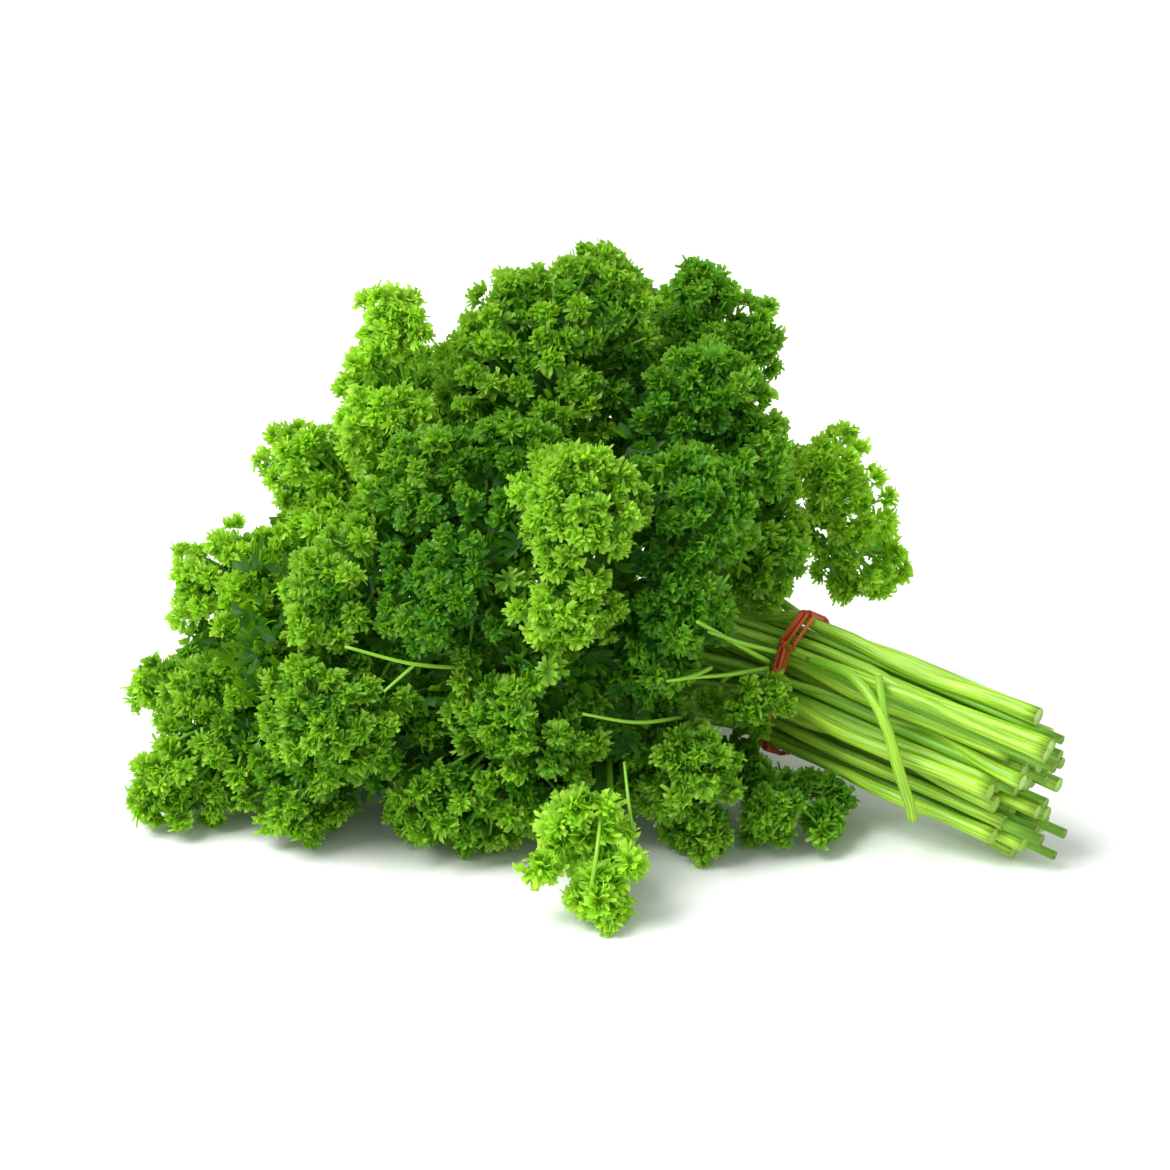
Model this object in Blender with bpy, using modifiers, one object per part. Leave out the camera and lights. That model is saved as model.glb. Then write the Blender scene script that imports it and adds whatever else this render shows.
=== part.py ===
"""A bunch of curly parsley lying on its side, held by one rubber band. Metres, +Z up.

Each sprig is a stem and the curly leaf that it carries. All the stems pass through the band
side by side, and fan out from it to the leaves on one side and to the cut ends on the other.
"""

import math
import random

import bmesh
import bpy
import numpy as np
from mathutils import Vector, noise
from mathutils.geometry import convex_hull_2d

MM = 0.001

# The bundle where the band holds it, and the middle of its cut ends, in mm.
NECK = np.array([58.0, -16.0, 34.0])
CUT_END = np.array([119.0, -60.0, 23.5])
BUNDLE_TALL = 1.6  # the bundle's height over its width
STEM_PITCH = 5.7  # between neighbouring stems under the band
CUT_SPREAD = 1.02  # how much wider the bundle is at the cut ends
CUT_STAGGER = 7.0  # the cut ends lie this far before and behind one another
CUT_UNEVEN = 0.06  # how much the spread differs from stem to stem

STEM_R_CUT = 2.35  # stem radius at the cut end, under the band and at the leaf
STEM_R_NECK = 2.0
STEM_R_LEAF = 1.15
POINTS_BELOW = 2  # straight pieces of a stem from the cut end to the band
POINTS_ABOVE = 8  # and from the band to the leaf
FINER = 4  # the stems make way for one another at this many places in each piece
ROUNDS = 200  # of making way, and how strongly each one moves and straightens the stems
MOVE_RATE = 0.6
EASE_RATE = 0.25
STEM_CURVE = 0.35  # how far a stem keeps its direction at either end, as a share of its length
SIDES_TRIED = 200  # of a leaf, for the place where its stem meets it
STEM_GAP = 0.9  # least space between two stems
LEAF_GAP = 2.0  # least space between two leaves
LEAF_CLEAR = 1.6  # least space between a stem and a leaf that it passes
TIP_GAP = 0.8  # space between a stem and its own leaf
FLOOR_GAP = 0.3
LUMP_PITCH = 9.0  # the curls make the leaves lumpy
LUMP_DEPTH = 2.4
LUMP_SINK = 0.4

BAND_WIDTH = 3.6
BAND_THICK = 1.2
BAND_GAP = 0.5
BAND_RUN = 3.5  # the stems run straight this far to either side of the band's middle
ROUND_STEPS = 20  # corners of the band around one stem

HUB = np.array([-5.0, 8.0, 56.0])  # the hollow that the stems fan out through

LEAF_COLOUR = (0.10, 0.33, 0.03, 1.0)
STEM_COLOUR = (0.38, 0.62, 0.10, 1.0)
BAND_COLOUR = (0.62, 0.09, 0.03, 1.0)
TINT_UNEVEN = 0.15
LEAF_ROUGH = 0.55
STEM_ROUGH = 0.4
BAND_ROUGH = 0.5

# Each leaf is a few curly lobes grown together: the middle of each lobe and its radius, in mm.
LEAVES = {
    "top": [(4, 15, 130, 22), (-16, 12, 127, 20), (-27, 8, 114, 20), (-7, 0, 112, 21)],
    "top_right": [(32, 34, 132, 13), (43, 30, 119, 15), (34, 27, 116, 18)],
    "shoulder_right": [(30, 0, 108, 22), (41, -8, 98, 17), (14, 8, 98, 15)],
    "tall_left": [(-52, 4, 132, 13), (-57, 4, 117, 15), (-52, -3, 104, 19)],
    "shoulder_left": [(-77, 10, 88, 16), (-70, 5, 76, 18)],
    "upper_middle": [(-39, -24, 94, 22), (-20, -22, 99, 19)],
    "low_left": [(-107, 8, 52, 15), (-92, 2, 44, 19), (-95, 8, 60, 14)],
    "front_left": [(-101, -18, 30, 19), (-98, -30, 17, 18), (-115, -6, 28, 15), (-113, -36, 12, 15)],
    "bright_middle": [(-2, -55, 101, 20), (-4, -60, 76, 17)],
    "middle_left": [(-36, -43, 73, 21), (-28, -38, 88, 17)],
    "centre_left": [(-64, -36, 66, 20), (-55, -28, 80, 17)],
    "low_front_left": [(-66, -50, 40, 22), (-77, -43, 16, 18)],
    "low_front": [(-36, -48, 18, 21), (-18, -50, 22, 19), (-20, -57, 45, 17), (-7, -58, 37, 16)],
    "middle_right": [(26, -36, 92, 21), (20, -48, 70, 20), (19, -51, 56, 14)],
    "right": [(48, -10, 70, 15), (48, 5, 81, 15)],
    "back_right": [(70, 30, 80, 16), (76, 32, 67, 16), (80, 34, 50, 16)],
    "front": [(4, -93, 8, 11), (-1, -80, 23, 14)],
    "low_front_right": [(27, -52, 26, 18), (31, -54, 11, 14)],
    "under_stems": [(48, -50, 13, 13), (65, -50, 8, 9)],
    "neck": [(43, -45, 41, 9), (52, -44, 43, 7), (38, -47, 35, 10)],
    "under_left": [(-58, -6, 17, 18), (-38, -8, 17, 18)],
    "under_middle": [(-8, -12, 17, 18), (10, -16, 16, 16)],
    "back_top": [(14, 56, 110, 23), (-11, 55, 106, 22)],
    "back_top_left": [(-45, 46, 90, 22), (-58, 42, 76, 19)],
    "back_low_left": [(-84, 40, 36, 22), (-99, 28, 19, 18)],
    "back_middle": [(-26, 64, 60, 22), (-4, 68, 50, 21)],
    "back_floor_left": [(-42, 56, 18, 21), (-62, 50, 18, 19)],
    "back_middle_right": [(40, 55, 72, 21), (32, 60, 50, 19)],
    "back_floor_right": [(8, 56, 18, 21), (32, 50, 18, 19), (50, 42, 17, 17)],
}

# A thin side stalk hangs over the cut ends: how far along the bundle from the band, how far to the
# front of it and how far up each bend of the stalk is, in mm.
LOOSE_STALK = [(21, 12, 17), (38, 20, 19), (48, 21, 4), (52, 18, -14)]
STALK_R = 1.4
STALK_R_TIP = 1.1
STALK_POINTS = 9


def unit(vector):
    return vector / np.linalg.norm(vector)


AXIS = unit(CUT_END - NECK)  # along the bundle, towards the cut ends
ACROSS = unit(np.cross(AXIS, [0.0, 0.0, 1.0]))
UPWARD = np.cross(ACROSS, AXIS)


def bundle_slots(count):
    """Places of the stems in the bundle's cross-section, in mm across and up, packed like pencils."""
    reach = range(-6, 7)
    row_height = STEM_PITCH * math.sqrt(0.75)
    slots = [
        ((column + 0.5 * (row % 2)) * STEM_PITCH, row * row_height)
        for row in reach
        for column in reach
    ]
    slots.sort(key=lambda slot: (math.hypot(slot[0] * BUNDLE_TALL, slot[1]), slot))
    return slots[:count]


def lobe_middles(leaf):
    return np.array([lobe[:3] for lobe in leaf], float)


def lobe_radii(leaf):
    return np.array([lobe[3] for lobe in leaf], float)


def heart_of(leaf):
    """A point inside every lobe of the leaf, from which all of its surface is in sight."""
    middles, radii = lobe_middles(leaf), lobe_radii(leaf)
    heart = middles.mean(axis=0)
    for _ in range(200):
        away = np.linalg.norm(middles - heart, axis=1) - 0.85 * radii
        worst = away.argmax()
        if away[worst] <= 0:
            break
        heart += 0.1 * (middles[worst] - heart)
    return heart


def depth_outside(points, leaf):
    """How far each point is outside the leaf's nearest lobe; it is negative inside."""
    apart = np.linalg.norm(points[:, None] - lobe_middles(leaf)[None], axis=2)
    return (apart - lobe_radii(leaf)).min(axis=1)


def slots_for_leaves(hearts):
    """Gives each leaf the slot from which its stem crosses the others least."""
    spread = hearts - NECK
    along = np.maximum(-(spread @ AXIS), 10.0)
    wanted = np.stack([spread @ ACROSS, spread @ UPWARD], axis=1)
    wanted /= (along + np.linalg.norm(wanted, axis=1))[:, None]
    wanted *= 1.5 * STEM_PITCH * math.sqrt(len(hearts))
    slots = [np.array(slot) for slot in bundle_slots(len(hearts))]
    swapped = True
    while swapped:
        swapped = False
        for i in range(len(slots)):
            for j in range(i):
                kept = np.sum((slots[i] - wanted[i]) ** 2) + np.sum((slots[j] - wanted[j]) ** 2)
                other = np.sum((slots[j] - wanted[i]) ** 2) + np.sum((slots[i] - wanted[j]) ** 2)
                if other < kept - 1e-6:
                    slots[i], slots[j] = slots[j], slots[i]
                    swapped = True
    return slots


def surface_reach(leaf, heart, directions, others=(), gap=0.0):
    """How far the leaf reaches from its heart each way before it meets another leaf."""
    steps = np.arange(0.0, 60.0, 0.5)
    reach = np.zeros(len(directions))
    for n, direction in enumerate(directions):
        line = heart + steps[:, None] * direction
        outside = depth_outside(line, leaf)
        stopped = outside > 0
        for other in others:
            stopped |= depth_outside(line, other) - outside < gap
        reach[n] = steps[stopped.argmax()]
    return reach


def bezier(points, count):
    a, b, c, d = points
    t = np.linspace(0.0, 1.0, count)[:, None]
    return a * (1 - t) ** 3 + 3 * b * t * (1 - t) ** 2 + 3 * c * t**2 * (1 - t) + d * t**3


def base_of(leaf, heart, others):
    """Where the stem meets its leaf: on the side nearest the hollow that no other leaf covers."""
    inward = unit(HUB - heart)
    choices = [inward]
    for n in range(SIDES_TRIED):
        rise = 1 - (2 * n + 1) / SIDES_TRIED
        turn = n * math.pi * (3 - math.sqrt(5))
        level = math.sqrt(1 - rise * rise)
        choices.append(np.array([level * math.cos(turn), level * math.sin(turn), rise]))
    choices.sort(key=lambda choice: -choice @ inward)
    for choice in choices:
        tip = heart + choice * (surface_reach(leaf, heart, [choice])[0] + STEM_R_LEAF + TIP_GAP)
        beside = [depth_outside(tip[None], other)[0] for other in others]
        if min(beside) > STEM_R_LEAF + LEAF_CLEAR and tip[2] > STEM_R_LEAF + FLOOR_GAP:
            return tip, choice
    raise ValueError("no free side for the stem")


def first_stem_path(slot, heart, leaf, others, chance):
    """A stem's route before it makes way for the others: cut end, band, then out to the leaf's base."""
    across, up = slot
    at_neck = NECK + across * ACROSS + up * UPWARD
    fan = CUT_SPREAD + chance.uniform(-CUT_UNEVEN, CUT_UNEVEN)
    at_cut = CUT_END + fan * across * ACROSS + fan * up * UPWARD
    at_cut = at_cut + chance.uniform(-CUT_STAGGER, CUT_STAGGER) * AXIS
    at_cut[2] = max(at_cut[2], STEM_R_CUT + FLOOR_GAP)
    below = np.linspace(at_cut, at_neck + BAND_RUN * AXIS, POINTS_BELOW * FINER + 1)
    tip, outward = base_of(leaf, heart, others)
    start = at_neck - BAND_RUN * AXIS
    pull = STEM_CURVE * np.linalg.norm(tip - start)
    above = bezier([start, start - pull * AXIS, tip + pull * outward, tip], POINTS_ABOVE * FINER + 1)
    held = np.linspace(below[-1], start, FINER + 1)
    return np.concatenate([below, held[1:-1], above])


def stem_radii(finer=1):
    below = np.linspace(STEM_R_CUT, STEM_R_NECK, POINTS_BELOW * finer + 1)
    held = np.full(finer - 1, STEM_R_NECK)
    return np.concatenate([below, held, np.linspace(STEM_R_NECK, STEM_R_LEAF, POINTS_ABOVE * finer + 1)])


def make_way(paths, leaves):
    """Bends the stems until none touches another or a leaf, and gives the points to draw them through."""
    radii = stem_radii(FINER)
    count = paths.shape[1]
    free = np.ones(count)
    free[: (POINTS_BELOW + 1) * FINER + 2] = 0.0
    owner = np.repeat(np.arange(len(paths)), count)
    ring = np.tile(radii, len(paths))
    needed = np.where(owner[:, None] != owner[None, :], ring[:, None] + ring[None, :] + STEM_GAP, 0.0)
    for _ in range(ROUNDS):
        flat = paths.reshape(-1, 3)
        squares = (flat**2).sum(axis=1)
        distance = np.sqrt(np.maximum(squares[:, None] + squares[None] - 2 * flat @ flat.T, 1e-6))
        share = 0.5 * np.maximum(needed - distance, 0.0) / distance
        move = (share.sum(axis=1)[:, None] * flat - share @ flat).reshape(paths.shape)
        for n, leaf in enumerate(leaves):
            clear = np.full(len(paths), LEAF_CLEAR)
            clear[n] = TIP_GAP
            for x, y, z, size in leaf:
                away = paths - (x, y, z)
                distance = np.linalg.norm(away, axis=2)
                short = np.maximum(size + radii[None] + clear[:, None] - distance, 0.0)
                move += (short / np.maximum(distance, 1e-9))[:, :, None] * away
        move[:, :, 2] += np.maximum(radii + FLOOR_GAP - paths[:, :, 2], 0.0)
        eased = np.zeros_like(paths)
        eased[:, 1:-1] = EASE_RATE * (paths[:, :-2] + paths[:, 2:] - 2 * paths[:, 1:-1])
        paths = paths + (MOVE_RATE * move + eased) * free[None, :, None]
    return paths[:, ::FINER]


def material(name, colour, roughness):
    made = bpy.data.materials.new(name)
    made.use_nodes = True
    shader = made.node_tree.nodes["Principled BSDF"]
    shader.inputs["Base Color"].default_value = colour
    shader.inputs["Roughness"].default_value = roughness
    shader.inputs["Metallic"].default_value = 0.0
    made.diffuse_color = colour
    return made


def tinted(colour, chance):
    """The colour a little lighter or darker, because no two leaves or stems are alike."""
    shade = 1 + chance.uniform(-TINT_UNEVEN, TINT_UNEVEN)
    return (*(channel * shade for channel in colour[:3]), colour[3])


def add_object(name, data, finish, collection):
    made = bpy.data.objects.new(name, data)
    data.materials.append(finish)
    collection.objects.link(made)
    return made


def add_tube(name, path, radii, finish, collection):
    """A round stem along the path, with a radius at each of its points."""
    curve = bpy.data.curves.new(name, "CURVE")
    curve.dimensions = "3D"
    curve.bevel_depth = MM
    curve.bevel_resolution = 2
    curve.use_fill_caps = True
    spline = curve.splines.new("POLY")
    spline.points.add(len(path) - 1)
    for point, place, radius in zip(spline.points, path, radii, strict=True):
        point.co = (*(place * MM), 1.0)
        point.radius = radius
    return add_object(name, curve, finish, collection)


def add_leaf(name, leaf, others, finish, collection):
    """The mass of one curly leaf: its lobes grown together, up against its neighbours and the floor."""
    heart = heart_of(leaf)
    mesh = bpy.data.meshes.new(name)
    shape = bmesh.new()
    bmesh.ops.create_icosphere(shape, subdivisions=3, radius=1.0)
    directions = [np.array(vert.co) for vert in shape.verts]
    reach = surface_reach(leaf, heart, directions, others, LEAF_GAP)
    for vert, direction, distance in zip(shape.verts, directions, reach, strict=True):
        place = heart + direction * distance
        dimple = noise.noise(Vector(place / LUMP_PITCH)) - LUMP_SINK
        place += direction * LUMP_DEPTH * dimple
        place[2] = max(place[2], 0.0)
        vert.co = place * MM
    shape.to_mesh(mesh)
    shape.free()
    return add_object(name, mesh, finish, collection)


def add_band(slots, finish, collection):
    """The rubber band, drawn tight around the outermost stems."""
    hold = STEM_R_NECK + BAND_GAP
    turns = [2 * math.pi * step / ROUND_STEPS for step in range(ROUND_STEPS)]
    rims = [(x + hold * math.cos(turn), y + hold * math.sin(turn)) for x, y in slots for turn in turns]
    outline = [rims[n] for n in convex_hull_2d(rims)]
    mesh = bpy.data.meshes.new("rubber_band")
    shape = bmesh.new()
    ring = [
        shape.verts.new((NECK + across * ACROSS + up * UPWARD - 0.5 * BAND_WIDTH * AXIS) * MM)
        for across, up in outline
    ]
    edges = [shape.edges.new((one, other)) for one, other in zip(ring, ring[1:] + ring[:1], strict=True)]
    grown = bmesh.ops.extrude_edge_only(shape, edges=edges)["geom"]
    rim = [item for item in grown if isinstance(item, bmesh.types.BMVert)]
    bmesh.ops.translate(shape, verts=rim, vec=AXIS * BAND_WIDTH * MM)
    bmesh.ops.recalc_face_normals(shape, faces=shape.faces)
    first = shape.faces[:][0]
    if first.normal.dot(first.calc_center_median() - Vector(NECK * MM)) < 0:
        bmesh.ops.reverse_faces(shape, faces=shape.faces)
    shape.to_mesh(mesh)
    shape.free()
    band = add_object("rubber_band", mesh, finish, collection)
    wall = band.modifiers.new("wall", "SOLIDIFY")
    wall.thickness = BAND_THICK * MM
    wall.offset = 1.0
    return band


def add_loose_stalk(finish, collection):
    """A thin side stalk that hangs over the outside of the bundle between the band and the cut ends."""
    bends = [NECK + along * AXIS + across * ACROSS + up * UPWARD for along, across, up in LOOSE_STALK]
    path = bezier(bends, STALK_POINTS)
    radii = np.linspace(STALK_R, STALK_R_TIP, STALK_POINTS)
    return add_tube("loose_stalk", path, radii, finish, collection)


def centre_on_origin(collection):
    """Moves the bunch so that the origin is under its middle, on the surface it lies on."""
    bpy.context.view_layer.update()
    graph = bpy.context.evaluated_depsgraph_get()
    corners = np.array(
        [
            tuple(obj.matrix_world @ vert.co)
            for obj in collection.objects
            for vert in obj.evaluated_get(graph).to_mesh().vertices
        ]
    )
    low, high = corners.min(axis=0), corners.max(axis=0)
    for obj in collection.objects:
        obj.location = (-(low[0] + high[0]) / 2, -(low[1] + high[1]) / 2, -low[2])


def main():
    for obj in list(bpy.data.objects):
        bpy.data.objects.remove(obj, do_unlink=True)
    bunch = bpy.data.collections.new("parsley_bunch")
    bpy.context.scene.collection.children.link(bunch)

    chance = random.Random(7)
    leaves = list(LEAVES.values())
    hearts = np.array([heart_of(leaf) for leaf in leaves])
    slots = slots_for_leaves(hearts)
    others = [leaves[:n] + leaves[n + 1 :] for n in range(len(leaves))]
    given = zip(slots, hearts, leaves, others, strict=True)
    paths = [first_stem_path(*sprig, chance) for sprig in given]
    paths = make_way(np.array(paths), leaves)
    for n, name in enumerate(LEAVES):
        stem_skin = material(f"{name}_stem_skin", tinted(STEM_COLOUR, chance), STEM_ROUGH)
        add_tube(f"stem_{name}", paths[n], stem_radii(), stem_skin, bunch)
        leaf_tissue = material(f"{name}_leaf_tissue", tinted(LEAF_COLOUR, chance), LEAF_ROUGH)
        add_leaf(f"leaf_{name}", leaves[n], others[n], leaf_tissue, bunch)
    add_band(slots, material("band_rubber", BAND_COLOUR, BAND_ROUGH), bunch)
    add_loose_stalk(material("stalk_skin", tinted(STEM_COLOUR, chance), STEM_ROUGH), bunch)
    centre_on_origin(bunch)


main()
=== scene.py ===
import math
import random

import bmesh
import bpy
import numpy as np
from mathutils import Euler, Matrix, Vector, noise
from mathutils.bvhtree import BVHTree


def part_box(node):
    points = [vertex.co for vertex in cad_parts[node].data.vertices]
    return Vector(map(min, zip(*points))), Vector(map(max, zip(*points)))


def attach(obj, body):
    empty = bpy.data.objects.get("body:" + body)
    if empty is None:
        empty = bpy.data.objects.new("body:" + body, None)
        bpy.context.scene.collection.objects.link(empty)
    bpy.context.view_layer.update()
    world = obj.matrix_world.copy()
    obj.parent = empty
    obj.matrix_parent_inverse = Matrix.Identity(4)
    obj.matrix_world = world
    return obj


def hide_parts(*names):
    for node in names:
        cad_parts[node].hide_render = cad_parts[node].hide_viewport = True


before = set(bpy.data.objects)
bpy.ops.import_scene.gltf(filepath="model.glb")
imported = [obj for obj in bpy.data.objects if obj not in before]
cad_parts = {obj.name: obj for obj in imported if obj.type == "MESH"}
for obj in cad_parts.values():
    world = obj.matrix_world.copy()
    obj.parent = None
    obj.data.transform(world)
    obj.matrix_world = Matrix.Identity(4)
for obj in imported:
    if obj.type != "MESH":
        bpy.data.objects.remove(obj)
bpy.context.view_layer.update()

# A bunch of curly parsley on its side, held by a wound rubber band. Every sprig of the CAD model
# gets its crowd of curly leaflets on thin stalks, and every stem its ribs and its wet cut end.

mm = 0.001

# ---- shared helpers


def toLinear(code):
    channels = [int(code[n : n + 2], 16) / 255 for n in (1, 3, 5)]
    return (*[c / 12.92 if c <= 0.04045 else ((c + 0.055) / 1.055) ** 2.4 for c in channels], 1.0)


def addNode(tree, kind, values=None, **settings):
    node = tree.nodes.new(kind)
    for name, value in settings.items():
        setattr(node, name, value)
    for socket, value in (values or {}).items():
        if isinstance(value, bpy.types.NodeSocket):
            tree.links.new(value, node.inputs[socket])
        else:
            node.inputs[socket].default_value = value
    return node


def newMaterial(name):
    made = bpy.data.materials.new(name)
    made.use_nodes = True
    made.node_tree.nodes.clear()
    return made, made.node_tree


def unit(vector):
    vector = np.asarray(vector, float)
    return vector / max(np.linalg.norm(vector), 1e-9)


# ---- materials

# Curly parsley leaf: thin living tissue with a waxy skin. It gives the eye a saturated green, a soft
# sheen, and light that comes through it. The green is lighter and yellower at the tooth tips, partly
# their own paler green and partly a painted highlight, and darker towards each leaflet's base, partly
# its own deeper green and partly painted shade.
leafLook = {
    "dark": "#37861b",
    "bright": "#b4e632",
    "tip": "#d6f678",
    "through": "#a8ec1c",
    "throughShare": 0.5,
    "blotchMm": 5.0,
    "cellMm": 0.7,
    "bumpMm": 0.12,
}


def leafTissue():
    made, tree = newMaterial("parsleyLeafTissue")
    place = addNode(tree, "ShaderNodeTexCoord").outputs["Object"]
    tone = addNode(tree, "ShaderNodeAttribute", attribute_name="tone").outputs["Fac"]
    rim = addNode(tree, "ShaderNodeAttribute", attribute_name="rim").outputs["Fac"]
    blotch = addNode(tree, "ShaderNodeTexNoise", {
        "Vector": place, "Scale": 1 / (leafLook["blotchMm"] * mm), "Detail": 3.0}).outputs["Fac"]
    cells = addNode(tree, "ShaderNodeTexNoise", {
        "Vector": place, "Scale": 1 / (leafLook["cellMm"] * mm), "Detail": 2.0}).outputs["Fac"]
    green = addNode(tree, "ShaderNodeMix", {
        "Factor": tone, "A": toLinear(leafLook["dark"]), "B": toLinear(leafLook["bright"])},
        data_type="RGBA")
    # the tooth tips are painted paler and yellower, partly their own paler green and partly a painted highlight
    tipShare = addNode(tree, "ShaderNodeMapRange", {
        "Value": rim, "From Min": 0.6, "From Max": 1.0, "To Min": 0.0, "To Max": 0.5})
    paler = addNode(tree, "ShaderNodeMapRange", {"Value": tone, "To Min": 0.35, "To Max": 1.0})
    tipPart = addNode(tree, "ShaderNodeMath", {0: tipShare.outputs[0], 1: paler.outputs[0]},
                      operation="MULTIPLY")
    tipped = addNode(tree, "ShaderNodeMix", {
        "Factor": tipPart.outputs[0], "A": green.outputs[2], "B": toLinear(leafLook["tip"])},
        data_type="RGBA")
    shade = addNode(tree, "ShaderNodeMapRange", {
        "Value": blotch, "From Min": 0.3, "From Max": 0.7, "To Min": 0.75, "To Max": 1.15})
    # darker towards each leaflet's base, partly its own deeper green and partly painted shade where the leaflet
    # shades itself
    pigmentAndBaseShade = addNode(tree, "ShaderNodeMapRange", {
        "Value": rim, "From Min": 0.1, "From Max": 0.8, "To Min": 0.36, "To Max": 1.08})
    depth = addNode(tree, "ShaderNodeMath", {0: shade.outputs[0], 1: pigmentAndBaseShade.outputs[0]},
                    operation="MULTIPLY")
    colour = addNode(tree, "ShaderNodeHueSaturation", {
        "Color": tipped.outputs[2], "Value": depth.outputs[0], "Saturation": 1.0})
    sheen = addNode(tree, "ShaderNodeMapRange", {
        "Value": cells, "From Min": 0.3, "From Max": 0.7, "To Min": 0.36, "To Max": 0.58})
    bump = addNode(tree, "ShaderNodeBump", {
        "Height": cells, "Strength": 0.5, "Distance": leafLook["bumpMm"] * mm})
    skin = addNode(tree, "ShaderNodeBsdfPrincipled", {
        "Base Color": colour.outputs[0], "Roughness": sheen.outputs[0], "IOR": 1.42,
        "Specular IOR Level": 0.4, "Normal": bump.outputs[0]})
    throughColour = addNode(tree, "ShaderNodeMix", {
        "Factor": 0.6, "A": colour.outputs[0], "B": toLinear(leafLook["through"])},
        data_type="RGBA")
    through = addNode(tree, "ShaderNodeBsdfTranslucent", {
        "Color": throughColour.outputs[2], "Normal": bump.outputs[0]})
    mixed = addNode(tree, "ShaderNodeMixShader", {
        0: leafLook["throughShare"], 1: skin.outputs[0], 2: through.outputs[0]})
    addNode(tree, "ShaderNodeOutputMaterial", {"Surface": mixed.outputs[0]})
    return made


# Parsley stem skin: moist, smooth and ribbed along its length, pale yellow-green with darker
# streaks, and a satin highlight down each stem.
stemLook = {
    "pale": "#b0dc3f",
    "green": "#558f18",
    "leafEnd": "#69ab28",
    "streakShare": 0.8,
    "roughness": (0.28, 0.46),
    "bumpMm": 0.15,
}


def stemSkin(name, look):
    made, tree = newMaterial(name)
    grain = addNode(tree, "ShaderNodeAttribute", attribute_name="grain").outputs["Vector"]
    along = addNode(tree, "ShaderNodeAttribute", attribute_name="along").outputs["Fac"]
    long = addNode(tree, "ShaderNodeMapping", {"Vector": grain, "Scale": (2.2, 2.2, 0.05)})
    streaks = addNode(tree, "ShaderNodeTexNoise", {
        "Vector": long.outputs[0], "Scale": 1.0, "Detail": 4.0}).outputs["Fac"]
    fine = addNode(tree, "ShaderNodeMapping", {"Vector": grain, "Scale": (6.0, 6.0, 0.35)})
    fibres = addNode(tree, "ShaderNodeTexNoise", {
        "Vector": fine.outputs[0], "Scale": 1.0, "Detail": 3.0}).outputs["Fac"]
    share = addNode(tree, "ShaderNodeMapRange", {
        "Value": streaks, "From Min": 0.35, "From Max": 0.65, "To Min": 0.0,
        "To Max": look["streakShare"]})
    skinColour = addNode(tree, "ShaderNodeMix", {
        "Factor": share.outputs[0], "A": toLinear(look["pale"]), "B": toLinear(look["green"])},
        data_type="RGBA")
    towardsLeaf = addNode(tree, "ShaderNodeMapRange", {
        "Value": along, "From Min": 0.35, "From Max": 1.0, "To Min": 0.0, "To Max": 0.8})
    colour = addNode(tree, "ShaderNodeMix", {
        "Factor": towardsLeaf.outputs[0], "A": skinColour.outputs[2],
        "B": toLinear(look["leafEnd"])}, data_type="RGBA")
    low, high = look["roughness"]
    gloss = addNode(tree, "ShaderNodeMapRange", {
        "Value": fibres, "From Min": 0.3, "From Max": 0.7, "To Min": low, "To Max": high})
    bump = addNode(tree, "ShaderNodeBump", {
        "Height": fibres, "Strength": 0.4, "Distance": look["bumpMm"] * mm})
    skin = addNode(tree, "ShaderNodeBsdfPrincipled", {
        "Base Color": colour.outputs[2], "Roughness": gloss.outputs[0], "IOR": 1.42,
        "Normal": bump.outputs[0]})
    addNode(tree, "ShaderNodeOutputMaterial", {"Surface": skin.outputs[0]})
    return made


# Fresh cut across a parsley stem: wet, pale green pith with a greener rim.
cutLook = {"pith": "#c2dd72", "ring": "#8fc043", "poreMm": 0.6}


def freshCut():
    made, tree = newMaterial("freshCutPith")
    place = addNode(tree, "ShaderNodeTexCoord").outputs["Object"]
    pores = addNode(tree, "ShaderNodeTexNoise", {
        "Vector": place, "Scale": 1 / (cutLook["poreMm"] * mm), "Detail": 2.0}).outputs["Fac"]
    colour = addNode(tree, "ShaderNodeMix", {
        "Factor": pores, "A": toLinear(cutLook["ring"]), "B": toLinear(cutLook["pith"])},
        data_type="RGBA")
    wet = addNode(tree, "ShaderNodeMapRange", {
        "Value": pores, "From Min": 0.3, "From Max": 0.7, "To Min": 0.25, "To Max": 0.45})
    bump = addNode(tree, "ShaderNodeBump", {"Height": pores, "Strength": 0.6, "Distance": 0.2 * mm})
    skin = addNode(tree, "ShaderNodeBsdfPrincipled", {
        "Base Color": colour.outputs[2], "Roughness": wet.outputs[0], "Normal": bump.outputs[0]})
    addNode(tree, "ShaderNodeOutputMaterial", {"Surface": skin.outputs[0]})
    return made


# Natural rubber band, moulded and cut: dull red-orange with a faint dusty bloom along it.
bandLook = {"rubber": "#c64719", "worn": "#de6f36", "roughness": (0.42, 0.6), "bumpMm": 0.1}


def bandRubber():
    made, tree = newMaterial("stretchedRubber")
    grain = addNode(tree, "ShaderNodeAttribute", attribute_name="grain").outputs["Vector"]
    long = addNode(tree, "ShaderNodeMapping", {"Vector": grain, "Scale": (3.0, 3.0, 0.4)})
    bloom = addNode(tree, "ShaderNodeTexNoise", {
        "Vector": long.outputs[0], "Scale": 1.0, "Detail": 5.0}).outputs["Fac"]
    colour = addNode(tree, "ShaderNodeMix", {
        "Factor": bloom, "A": toLinear(bandLook["rubber"]), "B": toLinear(bandLook["worn"])},
        data_type="RGBA")
    low, high = bandLook["roughness"]
    dull = addNode(tree, "ShaderNodeMapRange", {
        "Value": bloom, "From Min": 0.3, "From Max": 0.7, "To Min": low, "To Max": high})
    bump = addNode(tree, "ShaderNodeBump", {
        "Height": bloom, "Strength": 0.5, "Distance": bandLook["bumpMm"] * mm})
    skin = addNode(tree, "ShaderNodeBsdfPrincipled", {
        "Base Color": colour.outputs[2], "Roughness": dull.outputs[0], "IOR": 1.52,
        "Normal": bump.outputs[0]})
    addNode(tree, "ShaderNodeOutputMaterial", {"Surface": skin.outputs[0]})
    return made


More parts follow.
